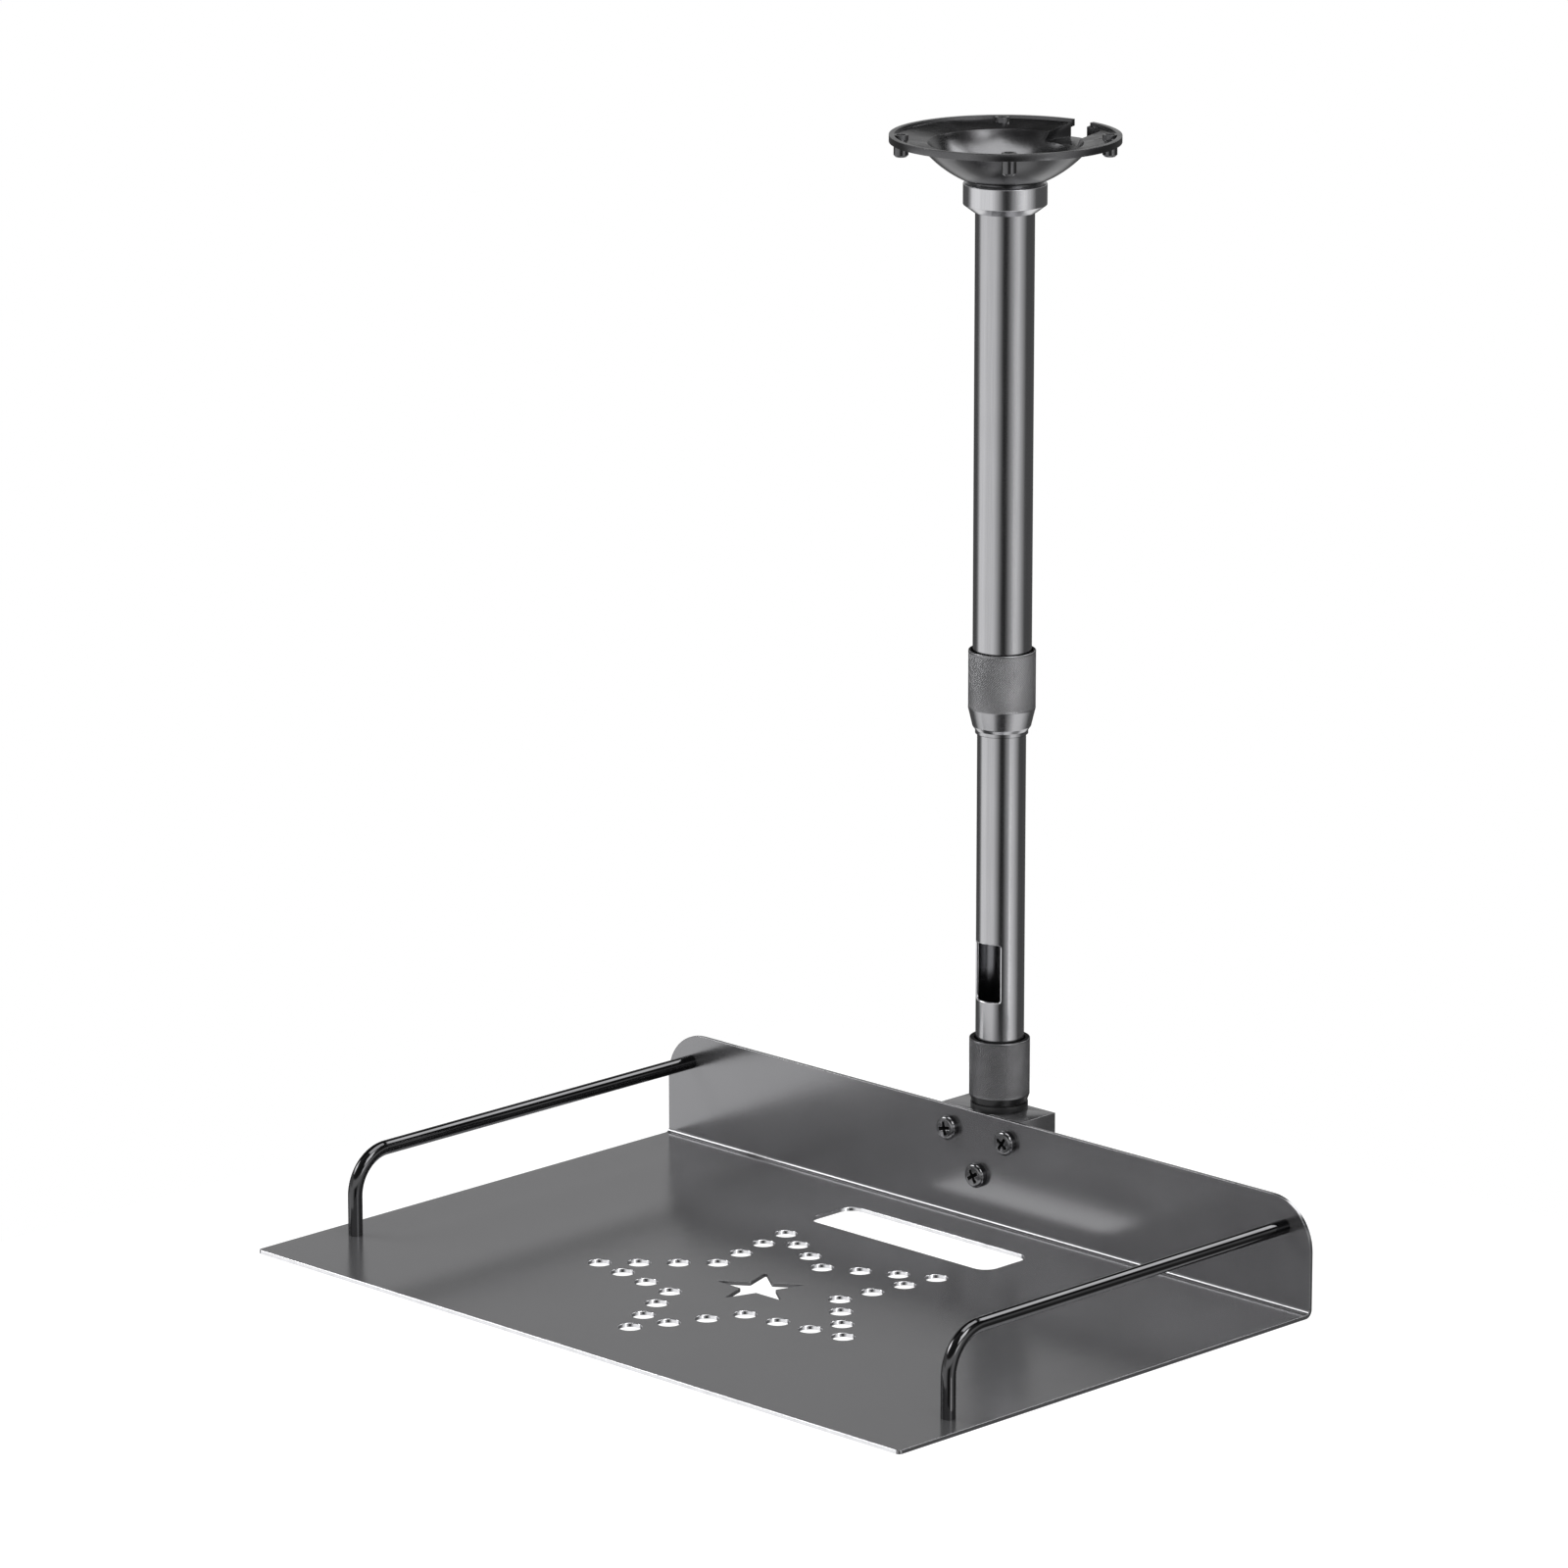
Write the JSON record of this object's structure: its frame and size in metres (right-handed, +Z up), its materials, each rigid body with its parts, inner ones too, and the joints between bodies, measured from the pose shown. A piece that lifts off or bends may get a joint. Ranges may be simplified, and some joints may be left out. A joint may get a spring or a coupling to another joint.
{
  "type": "projector ceiling mount",
  "caption": "Ceiling mount with a round flange, a telescopic tube held by knurled nuts, and a bent swivelling tray with side rails for a projector.",
  "frame": {"origin": "centre of the ceiling flange's top face, on the tube's axis, in the ceiling plane", "axes": "+Z up, away from the tray; +X along the tray's width, to the right; -Y towards the tray's open front"},
  "size_m": [0.42, 0.3415, 0.5278],
  "materials": {
    "powder_coat": "satin powder coat",
    "satin_tube": "satin dark nickel",
    "flange_casting": "glossy gunmetal",
    "knurled_nut": "fine diamond knurl",
    "dark_metal": "satin black",
    "rail_finish": "black nickel",
    "screw_steel": "dark zinc",
    "nylon": "moulded nylon"
  },
  "bodies": {
    "hanger": {"ceiling_flange": "flange_casting", "flange_collar": "satin_tube", "upper_tube": "satin_tube", "upper_collet": "nylon"},
    "upper_nut": {"upper_clamp_nut": "knurled_nut"},
    "lower_tube": {"lower_tube": "satin_tube", "tube_guide_bush": "nylon"},
    "tray": {"projector_tray": "powder_coat", "bracket_block": "powder_coat", "swivel_neck": "dark_metal", "neck_bolt": "screw_steel", "tray_screw_left": "screw_steel", "tray_screw_right": "screw_steel", "tray_screw_lower": "screw_steel", "rail_left": "rail_finish", "rail_right": "rail_finish", "rail_left_floor_screw": "screw_steel", "rail_left_flange_screw": "screw_steel", "rail_right_floor_screw": "screw_steel", "rail_right_flange_screw": "screw_steel"},
    "lower_nut": {"lower_clamp_nut": "knurled_nut"}
  },
  "joints": [
    {"name": "upper_nut_turn", "type": "hinge", "parent": "hanger", "child": "upper_nut", "pos_m": [0, 0, -0.266], "axis": [0, 0, 1], "range_deg": [-360, 0]},
    {"name": "drop_slide", "type": "slide", "parent": "hanger", "child": "lower_tube", "axis": [0, 0, 1], "range_m": [-0.08, 0.12]},
    {"name": "tray_swivel", "type": "hinge", "parent": "lower_tube", "child": "tray", "pos_m": [0, 0, -0.464], "axis": [0, 0, 1], "continuous": true},
    {"name": "lower_nut_turn", "type": "hinge", "parent": "tray", "child": "lower_nut", "pos_m": [0, 0, -0.45], "axis": [0, 0, 1], "range_deg": [0, 360]}
  ]
}
